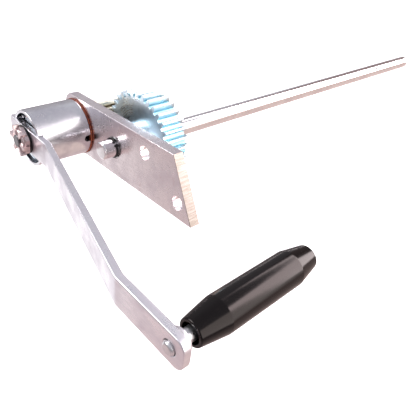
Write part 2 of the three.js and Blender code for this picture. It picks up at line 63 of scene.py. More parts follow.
PLATE_CORNERS = [(-167.7, -27.5), (39.0, -27.5), (14.8, 27), (-139.5, 27), (-144.9, 22.9)]
BOLT_HOLE = 6.2
BOLT_PLACES = [(-21.5, 13.2), (21.5, -13.2)]
BUSH_HOLE = 10.0
BUSH_OUTER = 9.9
BUSH_INNER = 8.2
SCREW_CIRCLE = 14.2
SCREW_HOLE = 3.3
LINING_OUTER = 26.6
LINING_INNER = 22.9

SHAFT = 8.0
SHAFT_GROOVE = 7.4
SHAFT_GROOVE_ROOM = 0.2
SHAFT_FRONT_CHAMFER = 1.1
SHAFT_BACK_CHAMFER = 1.6
CROSS_HOLE = 2.2
CROSS_HOLE_Y = 439.5
CROSS_HOLE_TURN = math.radians(52)
CLIP_INNER = 7.7
CLIP_OUTER = 9.2
CLIP_LUG = 1.7
SHAFT_CLIP_TURN = math.radians(-50)
THRUST_OUTER = 13.0
THRUST_INNER = 8.3

MODULE = 2.54
PRESSURE_ANGLE = math.radians(20)
TOOTH_THINNING = 0.3
GEAR = {"teeth": 34, "tip": 45.72, "root": 40.1}
GEAR_TURN = math.radians(7.26)
PINION = {"teeth": 14, "tip": 20.32, "root": 14.7}
WHEEL_BORE = 8.2
WHEEL_START = 16.8
HUB = 17.5

CUP_FRONT_RADIUS = 25.7
CUP_BACK_RADIUS = 26.2
CUP_BORE = 22.8
CUP_FLOOR = -55.5
CUP_WEB = 5.0
CUP_WEB_HOLE = 5.0
CUP_PAST = 3.0                     # how far the cutters of the cup's slot and notch stand out
NOTCH = {"half": 3.1, "depth": 6.2, "z": -0.4}
PINS = {
    "release_pin_1": {"x": -12.5, "z": 15.3, "hole": 2.8, "radius": 1.4},
    "release_pin_2": {"x": -4.6, "z": 18.7, "hole": 2.4, "radius": 1.4},
}

SQUARE = 14.6
SQUARE_ROUND = 9.1
THREAD = 6.0
THREAD_PITCH = 1.5
THREAD_DEPTH = 0.8
THREAD_CHAMFER = 1.0
SPINDLE_NECK = 5.5
SPINDLE_SHOULDER = 10.8
SPINDLE_SHOULDER_END = -12.0
SPINDLE_JOURNAL = 8.0

ARM_WIDTH = 24.0
ARM_THICKNESS = 6.0
ARM_FACE = -62.0
ARM_END_FACE = -102.5
ARM_STATIONS = [-28.5, 37.0, 201.0, 265.0]
ARM_BEND = 12.0
ARM_CORNER = 7.0
GRIP_RADIUS = 253.0
ARM_WASHER_OUTER = 13.1

NUT_CORNER = 13.6
NUT_CONE = 1.2
NUT_BASE = 12.2
NUT_CROWN = 10.4
NUT_CROWN_HEIGHT = 1.6
NUT_SLOT_HALF = 1.7
NUT_SLOT_REACH = 14.0
NUT_PAST = 1.0                     # how far the nut's cutters stand out
NUT_TURN = math.radians(-20)
COTTER_Y = -66.9
COTTER_REACH = 11.8
COTTER_WIRE = 0.55
COTTER_TURN = math.radians(-80)

GRIP_THICK = 13.2
GRIP_NEAR_END = 9.7
GRIP_FAR_END = 9.3
GRIP_NEAR_CONE = 22.0
GRIP_FAR_CONE = 20.3
GRIP_POCKET = 7.4
GRIP_POCKET_NEAR = 8.0
GRIP_POCKET_FAR = 14.0
GRIP_BUSH_OUTER = 6.9
GRIP_BORE = 5.2
GRIP_SPINDLE = 4.9
GRIP_SPINDLE_HOLE = 5.3
SPINDLE_TAIL = 3.0
SPINDLE_TAIL_LENGTH = 4.2
RIVET = 4.3
RIVET_EDGE = 0.8
COLLAR = 8.4

# ---------- studio, in world directions ----------

# Height of the direction, from straight down to straight up, and the sky's colour there.
SKY_STOPS = [
    (-1.00, (0.70, 0.54, 0.53)), (-0.75, (0.78, 0.62, 0.62)), (-0.50, (0.52, 0.43, 0.43)),
    (-0.28, (0.42, 0.37, 0.38)), (-0.04, (0.26, 0.25, 0.27)), (0.10, (0.46, 0.45, 0.48)),
    (0.45, (0.50, 0.48, 0.51)), (0.70, (0.64, 0.64, 0.70)), (1.00, (0.54, 0.54, 0.60)),
]

# A bright box on one side: its direction, the cosines where its sides fade in, and the heights where its
# bottom fades in and its top fades out.
BOX_SIDE = (0.156, 0.988, 0.0)
BOX_BEARING = (0.735, 0.785)
BOX_BOTTOM = (0.02, 0.10)
BOX_TOP = (0.70, 0.76)
BOX_COLOUR = (8.6, 7.9, 7.9)

# The flag darkens part of the box. The patches lie over the sky and under the box. Each one is a direction,
# the cosines to that direction where it starts and where it is full, and a colour.
BOX_FLAG = ((-0.48, 0.85, 0.12), (0.78, 0.83), (0.32, 0.25, 0.25))
PATCHES = [
    ((-0.85, -0.05, -0.52), (0.84, 0.97), (1.22, 1.18, 1.21)),
    ((0.87, 0.44, 0.20), (0.85, 0.91), (3.00, 2.85, 2.75)),
    ((0.30, 0.80, -0.52), (0.70, 0.88), (0.82, 0.64, 0.60)),
]

FLOOR_HALF = 6.0
FLOOR_HEIGHT = -0.30
KEY_PLACE = (-0.9, -0.9, 1.1)
KEY_TARGET = (-0.03, 0.05, 0.0)
KEY_SIZE = 1.0
KEY_POWER = 20.0
EYE_PLACE = (0.25033, -0.21290, 0.18614)
EYE_RIGHT = (0.684, 0.725, 0.078)
EYE_AHEAD = (-0.577, 0.604, -0.550)
LENS = 39.81
SENSOR = 36.0


# ---------- frames taken from the CAD ----------


def axis_of(node, turn=0.0):
    """The matrix of a frame on the Y axis of a turned CAD node."""
    low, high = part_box(node)
    middle = (low + high) / 2
    return Matrix.Translation((middle.x, 0, middle.z)) @ Matrix.Rotation(turn, 4, "Y")


def ends_of(node):
    """The front and back of a CAD node along Y, in millimetres."""
    low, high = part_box(node)
    return low.y / MM, high.y / MM


PLATE_FRAME = Matrix.Identity(4)
CRANK_FRAME = axis_of("friction_lining", CRANK_TURN)
OUTPUT_FRAME = axis_of("output_shaft")
GRIP_FRAME = axis_of("grip_sleeve", CRANK_TURN)


# ---------- outlines ----------


def circle(radius, x=0.0, z=0.0, segments=48):
    return [
        (x + radius * math.cos(2 * math.pi * k / segments), z + radius * math.sin(2 * math.pi * k / segments))
        for k in range(segments)
    ]


def arc(radius, start, end, steps, x=0.0, z=0.0):
    angles = [start + (end - start) * k / steps for k in range(steps + 1)]
    return [(x + radius * math.cos(angle), z + radius * math.sin(angle)) for angle in angles]


def polygon(sides, radius, turn=0.0):
    return [
        (radius * math.cos(turn + 2 * math.pi * k / sides), radius * math.sin(turn + 2 * math.pi * k / sides))
        for k in range(sides)
    ]


def ease(points, size, closed=True, least_turn=0.3):
    """Rounds the corners of a 2D line; each corner gets a short curve, shortened where edges are short."""
    steps = 3
    longest_part = 0.45
    count = len(points)
    eased = []
    for i, point in enumerate(points):
        if not closed and i in (0, count - 1):
            eased.append(point)
            continue
        here = Vector(point)
        before = Vector(points[i - 1]) - here
        after = Vector(points[(i + 1) % count]) - here
        turn = math.pi - before.angle(after, math.pi)
        if turn < least_turn:
            eased.append(point)
            continue
        reach = min(size, before.length * longest_part, after.length * longest_part)
        start = here + before.normalized() * reach
        end = here + after.normalized() * reach
        for k in range(steps + 1):
            t = k / steps
            spot = start * (1 - t) ** 2 + here * 2 * t * (1 - t) + end * t**2
            eased.append((spot.x, spot.y))
    return eased


def area(loop):
    """A loop's signed area, positive when it runs anticlockwise."""
    return sum(a[0] * b[1] - b[0] * a[1] for a, b in zip(loop, loop[1:] + loop[:1])) / 2


def shifted(loop, distance):
    """Moves every corner of a loop to its left by a distance."""
    least_scale = 0.35
    count = len(loop)
    moved = []
    for i, point in enumerate(loop):
        here = Vector(point)
        into = (here - Vector(loop[i - 1])).normalized()
        out = (Vector(loop[(i + 1) % count]) - here).normalized()
        left_in = Vector((-into.y, into.x))
        left_out = Vector((-out.y, out.x))
        scale = max(least_scale, 1 + left_in.dot(left_out))
        spot = here + (left_in + left_out) * distance / scale
        moved.append((spot.x, spot.y))
    return moved


def involute(angle):
    """The involute function of gear tooth flanks."""
    return math.tan(angle) - angle


def tooth_half_angle(teeth, radius):
    """Half the angle that one tooth takes up at a radius."""
    pitch_radius = MODULE * teeth / 2
    base_radius = pitch_radius * math.cos(PRESSURE_ANGLE)
    half = math.pi / (2 * teeth) - TOOTH_THINNING / (2 * pitch_radius)
    flank = math.acos(min(1.0, base_radius / max(radius, base_radius)))
    return half + involute(PRESSURE_ANGLE) - involute(flank)


def spur_outline(wheel, turn):
    """A spur gear's outline, with eased tips and filleted roots."""
    steps = 7
    root_fillet = 0.35
    points = []
    for tooth in range(wheel["teeth"]):
        centre = turn + tooth * 2 * math.pi / wheel["teeth"]
        flank = []
        for k in range(steps + 1):
            radius = wheel["root"] + (wheel["tip"] - wheel["root"]) * k / steps
            flank.append((radius, tooth_half_angle(wheel["teeth"], radius)))
        for radius, half in flank:
            points.append((radius * math.cos(centre - half), radius * math.sin(centre - half)))
        for radius, half in reversed(flank):
            points.append((radius * math.cos(centre + half), radius * math.sin(centre + half)))
    return ease(points, root_fillet, least_turn=0.5)


def pinion_turn():
    """The pinion's tooth angle that puts its gaps over the gear's teeth, in the crank's own frame."""
    gap = OUTPUT_FRAME.translation - CRANK_FRAME.translation
    towards = math.atan2(gap.z, gap.x)
    ahead = (GEAR_TURN - towards - math.pi) / (2 * math.pi / GEAR["teeth"])
    part = ahead - math.floor(ahead)
    pitch = 2 * math.pi / PINION["teeth"]
    return towards + pitch / 2 - part * pitch + CRANK_TURN


# ---------- mesh makers; they work in millimetres, along Y ----------


def mesh_object(name, corners, faces):
    mesh = bpy.data.meshes.new(name)
    mesh.from_pydata(corners, [], faces)
    work = bmesh.new()
    work.from_mesh(mesh)
    bmesh.ops.remove_doubles(work, verts=work.verts, dist=1e-5)
    bmesh.ops.recalc_face_normals(work, faces=work.faces)
    work.to_mesh(mesh)
    work.free()
    piece = bpy.data.objects.new(name, mesh)
    bpy.context.scene.collection.objects.link(piece)
    return piece


def turned(name, profile, segments=ROUND, edge=0.3, least_turn=0.3):
    """A solid turned about Y from (radius, y) points that start and end on the axis or close into a ring."""
    on_axis = profile[0][0] == 0
    points = ease(profile, edge, closed=not on_axis, least_turn=least_turn)
    corners = []
    rings = []
    for radius, y in points:
        first = len(corners)
        if radius < 1e-6:
            corners.append((0, y, 0))
            rings.append([first] * segments)
            continue
        for k in range(segments):
            angle = 2 * math.pi * k / segments
            corners.append((radius * math.cos(angle), y, radius * math.sin(angle)))
        rings.append(list(range(first, first + segments)))
    if not on_axis:
        rings.append(rings[0])
    faces = []
    for lower, upper in zip(rings, rings[1:]):
        for k in range(segments):
            following = (k + 1) % segments
            quad = [lower[k], lower[following], upper[following], upper[k]]
            face = list(dict.fromkeys(quad))
            if len(face) > 2:
                faces.append(face)
    return mesh_object(name, corners, faces)


def ring(name, outer, inner, front, back, segments=ROUND, edge=0.2):
    return turned(name, [(inner, front), (outer, front), (outer, back), (inner, back)], segments, edge)


def slab(name, outline, holes, front, back, edge=0.4, steps=3):
    """A flat solid from an (x, z) outline and holes, with every rim rounded over by `edge`."""
    loops = [outline if area(outline) > 0 else outline[::-1]]
    loops += [hole if area(hole) < 0 else hole[::-1] for hole in holes]
    levels = []
    for k in range(steps + 1):
        angle = k / steps * math.pi / 2
        levels.append((edge * (1 - math.sin(angle)), front + edge * (1 - math.cos(angle))))
    levels += [(inset, back + front - y) for inset, y in reversed(levels)]
    corners = []
    faces = []
    caps = {0: [], len(levels) - 1: []}
    for loop in loops:
        previous = None
        for level, (inset, y) in enumerate(levels):
            first = len(corners)
            flat = shifted(loop, inset)
            corners.extend((x, y, z) for x, z in flat)
            now = list(range(first, first + len(loop)))
            if previous:
                for k in range(len(loop)):
                    following = (k + 1) % len(loop)
                    faces.append([previous[k], previous[following], now[following], now[k]])
            if level in caps:
                caps[level].append((flat, now))
            previous = now
    for groups in caps.values():
        index = [i for _, ids in groups for i in ids]
        flat = [[Vector((x, z, 0)) for x, z in loop] for loop, _ in groups]
        faces.extend([index[a], index[b], index[c]] for a, b, c in tessellate_polygon(flat))
    return mesh_object(name, corners, faces)


def block(name, low, high):
    corners = [(x, y, z) for x in (low[0], high[0]) for y in (low[1], high[1]) for z in (low[2], high[2])]
    faces = [(0, 1, 3, 2), (4, 6, 7, 5), (0, 4, 5, 1), (2, 3, 7, 6), (0, 2, 6, 4), (1, 5, 7, 3)]
    return mesh_object(name, corners, faces)


def rod(name, radius, front, back, segments=48):
    return turned(name, [(0, front), (radius, front), (radius, back), (0, back)], segments, edge=0.0)


def turn_piece(piece, angle, axis):
    piece.data.transform(Matrix.Rotation(angle, 4, axis))
    return piece


def shift_piece(piece, x=0.0, y=0.0, z=0.0):
    piece.data.transform(Matrix.Translation((x, y, z)))
    return piece


def combine(piece, tools, operation="DIFFERENCE"):
    """Cuts the tools from a piece, or joins or intersects them, and removes the tools."""
    for tool in tools:
        modifier = piece.modifiers.new("combine", "BOOLEAN")
        modifier.operation = operation
        modifier.solver = "EXACT"
        modifier.object = tool
    apply_modifiers(piece)
    for tool in tools:
        bpy.data.objects.remove(tool)
    return piece


def apply_modifiers(piece):
    bpy.context.view_layer.update()
    made = bpy.data.meshes.new_from_object(piece.evaluated_get(bpy.context.evaluated_depsgraph_get()))
    piece.modifiers.clear()
    piece.data = made


def soften(piece, width):
    """Rounds the sharp edges that cutting left."""
    modifier = piece.modifiers.new("soften", "BEVEL")
    modifier.width = width
    modifier.segments = 2
    modifier.limit_method = "ANGLE"
    modifier.angle_limit = math.radians(40)
    modifier.harden_normals = False
    apply_modifiers(piece)
    return piece


def place(piece, place_frame, material, body, nodes):
    metres = Matrix.Scale(MM, 4)
    piece.data.transform(place_frame @ metres)
    piece.data.materials.clear()
    piece.data.materials.append(material)
    piece.data.shade_smooth()
    piece.data.set_sharp_from_angle(angle=SHARP_ANGLE)
    weighted = piece.modifiers.new("weighted", "WEIGHTED_NORMAL")
    weighted.keep_sharp = True
    weighted.weight = 80
    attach(piece, body)
    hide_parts(*nodes)
    return piece


# ---------- materials ----------


class Nodes:
    """A short way to build a node tree."""

    def __init__(self, tree):
        self.tree = tree

    def add(self, kind, **settings):
        node = self.tree.nodes.new(kind)
        for key, value in settings.items():
            setattr(node, key, value)
        return node

    def link(self, source, target):
        self.tree.links.new(source, target)

    def feed(self, target, value):
        if isinstance(value, bpy.types.NodeSocket):
            self.link(value, target)
        else:
            target.default_value = value

    def math(self, operation, a, b=0.0, c=0.0):
        node = self.add("ShaderNodeMath", operation=operation)
        for socket, value in zip(node.inputs, (a, b, c)):
            self.feed(socket, value)
        return node.outputs[0]

    def hypotenuse(self, a, b):
        return self.math("SQRT", self.math("ADD", self.math("MULTIPLY", a, a), self.math("MULTIPLY", b, b)))

    def where(self):
        """The spot on the object, in metres."""
        return self.add("ShaderNodeTexCoord").outputs["Object"]

    def along(self, vector, direction):
        """How far a vector reaches in a fixed direction."""
        node = self.add("ShaderNodeVectorMath", operation="DOT_PRODUCT")
        self.link(vector, node.inputs[0])
        node.inputs[1].default_value = Vector(direction).normalized()
        return node.outputs["Value"]

    def noise(self, vector, scale, detail=4.0, rough=0.55, distortion=0.0):
        node = self.add("ShaderNodeTexNoise")
        self.link(vector, node.inputs["Vector"])
        node.inputs["Scale"].default_value = scale
        node.inputs["Detail"].default_value = detail
        node.inputs["Roughness"].default_value = rough
        node.inputs["Distortion"].default_value = distortion
        return node.outputs["Fac"]

    def stretch(self, vector, scale):
        node = self.add("ShaderNodeMapping")
        self.link(vector, node.inputs["Vector"])
        node.inputs["Scale"].default_value = scale
        return node.outputs[0]

    def spread(self, value, low, high, to_low=0.0, to_high=1.0):
        """A smooth step from `to_low` to `to_high` as a value goes from `low` to `high`."""
        node = self.add("ShaderNodeMapRange", interpolation_type="SMOOTHSTEP")
        self.link(value, node.inputs["Value"])
        node.inputs["From Min"].default_value = low
        node.inputs["From Max"].default_value = high
        node.inputs["To Min"].default_value = to_low
        node.inputs["To Max"].default_value = to_high
        return node.outputs["Result"]

    def mix(self, factor, a, b):
        node = self.add("ShaderNodeMix", data_type="RGBA")
        self.feed(node.inputs["Factor"], factor)
        self.feed(node.inputs["A"], a)
        self.feed(node.inputs["B"], b)
        return node.outputs["Result"]

    def around(self, place_frame):
        """Radius, a length that grows with the angle, and y round the Y axis of a frame, in metres."""
        length_per_radian = 0.02
        centred = self.add("ShaderNodeVectorMath", operation="SUBTRACT")
        self.link(self.where(), centred.inputs[0])
        centred.inputs[1].default_value = place_frame.translation
        x, y, z = self.split(centred.outputs[0])
        angle = self.math("ARCTAN2", z, x)
        joined = self.add("ShaderNodeCombineXYZ")
        self.link(self.hypotenuse(x, z), joined.inputs[0])
        self.link(self.math("MULTIPLY", angle, length_per_radian), joined.inputs[1])
        self.link(y, joined.inputs[2])
        return joined.outputs[0]

    def split(self, vector):
        node = self.add("ShaderNodeSeparateXYZ")
        self.link(vector, node.inputs[0])
        return node.outputs

    def bump(self, height, strength, distance):
        node = self.add("ShaderNodeBump")
        self.link(height, node.inputs["Height"])
        node.inputs["Strength"].default_value = strength
        node.inputs["Distance"].default_value = distance
        return node.outputs[0]


def rgba(colour):
    return (*colour, 1.0)


def new_material(name):
    material = bpy.data.materials.new(name)
    material.use_nodes = True
    nodes = Nodes(material.node_tree)
    shader = material.node_tree.nodes["Principled BSDF"]
    return material, nodes, shader


def worn_metal(name, light, dark, stain, rough, grain, around=None, metal=1.0, anisotropy=0.0, bump=0.12,
               scored=0.35, tint_or_painted_shade=None):
    """Plated or bare metal: two tints in soft clouds, darker smudges, fine machining lines and light wear.

    `grain` scales the machining lines along X, Y and Z, or along radius, angle and Y if `around` is a frame.
    `scored` is the lines' strength. The last argument gives how much a spot is tinted, and the tint; it is
    the sawn end's own colour on the plate and painted shade on the gears and the cup.
    """
    line_colour = [channel * 0.8 for channel in dark]
    material, nodes, shader = new_material(name)
    where = nodes.where()
    lines_base = nodes.around(around) if around else where
    clouds = nodes.spread(nodes.noise(where, 38, 5, 0.6), 0.36, 0.66)
    smudges = nodes.spread(nodes.noise(where, 95, 6, 0.7, 0.6), 0.56, 0.78)
    lines = nodes.noise(nodes.stretch(lines_base, grain), 1.0, 3, 0.6)
    specks = nodes.spread(nodes.noise(where, 900, 2, 0.5), 0.62, 0.80)
    tint = nodes.mix(clouds, rgba(light), rgba(dark))
    tint = nodes.mix(nodes.math("MULTIPLY", smudges, 0.55), tint, rgba(stain))
    lined = nodes.mix(nodes.spread(lines, 0.42, 0.62, 0.0, scored), tint, rgba(line_colour))
    colour = nodes.mix(nodes.math("MULTIPLY", specks, 0.25), lined, rgba(stain))
    # Lays the last argument's tint over the metal: the sawn end's own colour, and painted shade on the gears
    # and the cup.
    if tint_or_painted_shade:
        amount, tint_or_shade_colour = tint_or_painted_shade(nodes)
        colour = nodes.mix(amount, colour, rgba(tint_or_shade_colour))
    nodes.link(colour, shader.inputs["Base Color"])
    line_roughness = nodes.spread(lines, 0.3, 0.7, -0.15 * scored, 0.18 * scored)
    patchy = nodes.math("ADD", nodes.spread(clouds, 0, 1, rough[0], rough[1]), line_roughness)
    nodes.link(nodes.math("ADD", patchy, nodes.math("MULTIPLY", smudges, 0.08)), shader.inputs["Roughness"])
    height = nodes.math("ADD", nodes.math("MULTIPLY", lines, 0.7), nodes.math("MULTIPLY", clouds, 0.3))
    nodes.link(nodes.bump(height, bump, 0.0002), shader.inputs["Normal"])
    shader.inputs["Metallic"].default_value = metal
    shader.inputs["Anisotropic"].default_value = anisotropy
    if anisotropy:
        tangent = nodes.add("ShaderNodeTangent", direction_type="RADIAL", axis="Y")
        nodes.link(tangent.outputs[0], shader.inputs["Tangent"])
    return material


def painted_gap_shade_amount(nodes, radius, wheel):
    """How much painted shade a spur wheel's spot gets: fully at the roots, and none at the tips."""
    root = wheel["root"] * MM
    height = wheel["tip"] * MM - root
    return nodes.spread(radius, root + 0.1 * height, root + 0.75 * height, 0.92, 0.0)


def gear_gap_painted_shade(nodes):
    """Paints shade into the gear's tooth gaps and onto its lower flanks, but not onto its front face."""
    radius, _, y = nodes.split(nodes.around(OUTPUT_FRAME))
    behind_face = nodes.spread(y, (WHEEL_START + 0.5) * MM, (WHEEL_START + 1.0) * MM)
    return nodes.math("MULTIPLY", painted_gap_shade_amount(nodes, radius, GEAR), behind_face), (0.30, 0.52, 0.60)


def pinion_gap_painted_shade(nodes):
    """Paints shade into the pinion's tooth gaps and onto its lower flanks."""
    radius = nodes.split(nodes.around(CRANK_FRAME))[0]
    return painted_gap_shade_amount(nodes, radius, PINION), (0.20, 0.18, 0.12)


def sawn_end(nodes):
    """Tints the plate's cut right end, and more so its saw lines."""
    low, high = Vector(PLATE_CORNERS[1]), Vector(PLATE_CORNERS[2])
    outwards = Vector((high.y - low.y, low.x - high.x)).normalized()
    reach = outwards.dot(low)
    where = nodes.where()
    distance = nodes.along(where, (outwards.x, 0, outwards.y))
    at_end = nodes.spread(distance, (reach - 0.4) * MM, (reach - 0.1) * MM)
    saw_marks = nodes.noise(nodes.stretch(where, (30, 60, 900)), 1.0, 3, 0.6)
    lines = nodes.spread(saw_marks, 0.40, 0.60, 0.85, 0.98)
    return nodes.math("MULTIPLY", at_end, lines), (0.26, 0.22, 0.195)


def cup_recess_painted_shade(nodes):
    """Paints shade onto the floor and inner wall of the cup's open front."""
    radius, _, y = nodes.split(nodes.around(CRANK_FRAME))
    inside = nodes.spread(radius, (CUP_BORE + 0.1) * MM, (CUP_BORE + 0.3) * MM, 1.0, 0.0)
    front = nodes.spread(y, (CUP_FLOOR + 2) * MM, (CUP_FLOOR + 6) * MM, 1.0, 0.0)
    return nodes.math("MULTIPLY", nodes.math("MULTIPLY", inside, front), 0.85), (0.18, 0.21, 0.24)


def gloss_plastic(name):
    """Black moulded plastic with faint scuffs and a slight waviness."""
    material, nodes, shader = new_material(name)
    where = nodes.where()
    ripple = nodes.noise(where, 45, 3, 0.5)
    scuffs = nodes.spread(nodes.noise(nodes.stretch(where, (400, 90, 400)), 1.0, 5, 0.7), 0.55, 0.75)
    dust = nodes.spread(nodes.noise(where, 1400, 2, 0.5), 0.64, 0.74)
    base = nodes.mix(scuffs, rgba((0.0006, 0.0004, 0.0004)), rgba((0.002, 0.0014, 0.0014)))
    dusty = nodes.mix(nodes.math("MULTIPLY", dust, 0.2), base, rgba((0.03, 0.026, 0.026)))
    nodes.link(dusty, shader.inputs["Base Color"])
    nodes.link(nodes.math("MULTIPLY_ADD", scuffs, 0.10, 0.15), shader.inputs["Roughness"])
    nodes.link(nodes.bump(ripple, 0.10, 0.0006), shader.inputs["Normal"])
    shader.inputs["Specular IOR Level"].default_value = 0.3
    shader.inputs["Specular Tint"].default_value = rgba((1.0, 0.88, 0.87))
    return material


def lining_material(name):
    """Copper-red pressed fibre with bright metal flecks."""
    material, nodes, shader = new_material(name)
    where = nodes.where()
    fibre = nodes.noise(where, 420, 5, 0.7)
    flecks = nodes.spread(nodes.noise(where, 1500, 2, 0.5), 0.62, 0.72)
    base = nodes.mix(nodes.spread(fibre, 0.35, 0.65), rgba((0.34, 0.07, 0.025)), rgba((0.13, 0.025, 0.015)))
    flecked = nodes.mix(nodes.math("MULTIPLY", flecks, 0.6), base, rgba((0.70, 0.30, 0.16)))
    nodes.link(flecked, shader.inputs["Base Color"])
    nodes.link(nodes.spread(fibre, 0.3, 0.7, 0.42, 0.62), shader.inputs["Roughness"])
    nodes.link(nodes.bump(fibre, 0.4, 0.0002), shader.inputs["Normal"])
    shader.inputs["Metallic"].default_value = 0.25
    return material


BRIGHT = (0.86, 0.85, 0.86)

plate_metal = worn_metal(
    "plate_zinc", (0.96, 0.90, 0.91), (0.74, 0.67, 0.70), (0.50, 0.29, 0.27), (0.20, 0.32), (90, 900, 400),
    bump=0.06, scored=0.12, tint_or_painted_shade=sawn_end)
# The cup's open front gets painted shade on its floor and inner wall.
cup_metal = worn_metal(
    "cup_zinc", (0.78, 0.78, 0.80), (0.62, 0.61, 0.65), (0.50, 0.44, 0.43), (0.17, 0.26), (1800, 60, 1800),
    around=CRANK_FRAME, bump=0.03, scored=0.08, tint_or_painted_shade=cup_recess_painted_shade)
arm_metal = worn_metal(
    "arm_zinc", (0.90, 0.88, 0.91), (0.77, 0.74, 0.79), (0.58, 0.52, 0.58), (0.26, 0.38), (60, 60, 1500),
    bump=0.08, scored=0.2)
# The gear's tooth gaps and lower flanks get painted shade.
gear_metal = worn_metal(
    "gear_zinc", (0.72, 0.84, 0.90), (0.60, 0.74, 0.82), (0.44, 0.55, 0.61), (0.26, 0.38), (2600, 40, 200),
    around=OUTPUT_FRAME, anisotropy=0.3, bump=0.08, scored=0.2, tint_or_painted_shade=gear_gap_painted_shade)
# The pinion's tooth gaps and lower flanks get painted shade.
pinion_metal = worn_metal(
    "pinion_zinc", (0.80, 0.79, 0.70), (0.68, 0.67, 0.58), (0.48, 0.44, 0.34), (0.26, 0.38), (200, 900, 60),
    around=CRANK_FRAME, tint_or_painted_shade=pinion_gap_painted_shade)
shaft_metal = worn_metal(
    "shaft_steel", BRIGHT, (0.78, 0.75, 0.76), (0.60, 0.50, 0.49), (0.08, 0.14), (900, 25, 900),
    bump=0.03, scored=0.2)
nut_metal = worn_metal(
    "nut_zinc", (0.80, 0.66, 0.66), (0.66, 0.53, 0.53), (0.38, 0.26, 0.24), (0.26, 0.38), (300, 300, 300))
bare_metal = worn_metal(
    "bare_steel", BRIGHT, (0.72, 0.71, 0.73), (0.50, 0.45, 0.44), (0.20, 0.32), (500, 500, 500))
copper_metal = worn_metal(
    "copper_steel", (0.82, 0.58, 0.50), (0.66, 0.44, 0.38), (0.40, 0.24, 0.20), (0.26, 0.36), (500, 500, 500))
bronze_metal = worn_metal(
    "bush_bronze", (0.62, 0.43, 0.22), (0.48, 0.32, 0.16), (0.26, 0.17, 0.10), (0.34, 0.46), (900, 900, 900))
black_metal = worn_metal(
    "black_oxide", (0.035, 0.034, 0.036), (0.020, 0.019, 0.021), (0.10, 0.06, 0.05), (0.36, 0.50),
    (700, 700, 700), metal=0.6)
dark_steel = worn_metal(
    "dark_steel", (0.22, 0.21, 0.22), (0.13, 0.12, 0.13), (0.07, 0.05, 0.05), (0.34, 0.46), (700, 700, 700))
grip_plastic = gloss_plastic("grip_plastic")
lining_fibre = lining_material("lining_fibre")


# ---------- fixed pieces ----------


def make_plate():
    front, back = ends_of("mounting_plate")
    crank = CRANK_FRAME.translation / MM
    output = OUTPUT_FRAME.translation / MM
    holes = [circle(BOLT_HOLE, x, z, SMALL_ROUND) for x, z in BOLT_PLACES]
    holes += [circle(BUSH_HOLE, spot.x, spot.z, SMALL_ROUND) for spot in (crank, output)]
    for x, z in polygon(3, SCREW_CIRCLE, math.pi / 2):
        holes.append(circle(SCREW_HOLE, crank.x + x, crank.z + z, 32))
    plate = slab("mounting_plate_skin", ease(PLATE_CORNERS, 0.5), holes, front, back, edge=0.35)
    place(plate, PLATE_FRAME, plate_metal, "base", ["mounting_plate"])


def make_bushes():
    for node, place_frame in (("shaft_bush", OUTPUT_FRAME), ("pinion_bush", CRANK_FRAME)):
        front, back = ends_of(node)
        bush = ring(f"{node}_skin", BUSH_OUTER, BUSH_INNER, front, back, SMALL_ROUND)
        place(bush, place_frame, bare_metal, "base", [node])


def make_lining():
    front, back = ends_of("friction_lining")
    lining = ring("friction_lining_skin", LINING_OUTER, LINING_INNER, front, back, edge=0.25)
    place(lining, CRANK_FRAME, lining_fibre, "base", ["friction_lining"])


# ---------- brake cup and its parts ----------


def make_cup():
    front, back = ends_of("brake_cup")
    web_back = CUP_FLOOR + CUP_WEB
    cup = turned("brake_cup_skin", [
        (CUP_WEB_HOLE, CUP_FLOOR), (CUP_BORE, CUP_FLOOR), (CUP_BORE, front), (CUP_FRONT_RADIUS, front),
        (CUP_BACK_RADIUS, back), (CUP_BORE, back), (CUP_BORE, web_back), (CUP_WEB_HOLE, web_back),
    ], edge=0.7)
    reach = CUP_BACK_RADIUS + CUP_PAST
    half_slot = ARM_WIDTH / 2 + GAP
    half_square = SQUARE / 2
    tools = [
        block("slot", (-reach, front - CUP_PAST, -half_slot), (reach, CUP_FLOOR, half_slot)),
        block("square", (-half_square, CUP_FLOOR - PAST, -half_square),
              (half_square, web_back + PAST, half_square)),
    ]
    for pin in PINS.values():
        hole = rod("pin_hole", pin["hole"], CUP_FLOOR - PAST, web_back + PAST)
        tools.append(shift_piece(hole, x=pin["x"], z=pin["z"]))
    tools += notch_tools(back, reach)
    combine(cup, tools)
    place(cup, CRANK_FRAME, cup_metal, "crank", ["brake_cup"])


def notch_tools(back, reach):
    """The cutters of the round-bottomed notch in the cup's back rim, at its +X side."""
    half = NOTCH["half"]
    round_end = back - NOTCH["depth"] + half
    start = CUP_BORE - CUP_PAST
    bottom = turn_piece(rod("notch", half, start, reach), -math.pi / 2, "Z")
    mouth = block("notch_mouth", (start, round_end, NOTCH["z"] - half),
                  (reach, back + PAST, NOTCH["z"] + half))
    return [shift_piece(bottom, y=round_end, z=NOTCH["z"]), mouth]


def make_release_pins():
    looks = {"release_pin_1": bare_metal, "release_pin_2": copper_metal}
    for node, pin in PINS.items():
        front, back = ends_of(node)
        radius = pin["radius"]
        profile = [(0, front), (radius * 0.55, front), (radius, front + 0.9), (radius, back), (0, back)]
        piece = turned(f"{node}_skin", profile, SMALL_ROUND, edge=0.5)
        place(shift_piece(piece, x=pin["x"], z=pin["z"]), CRANK_FRAME, looks[node], "crank", [node])


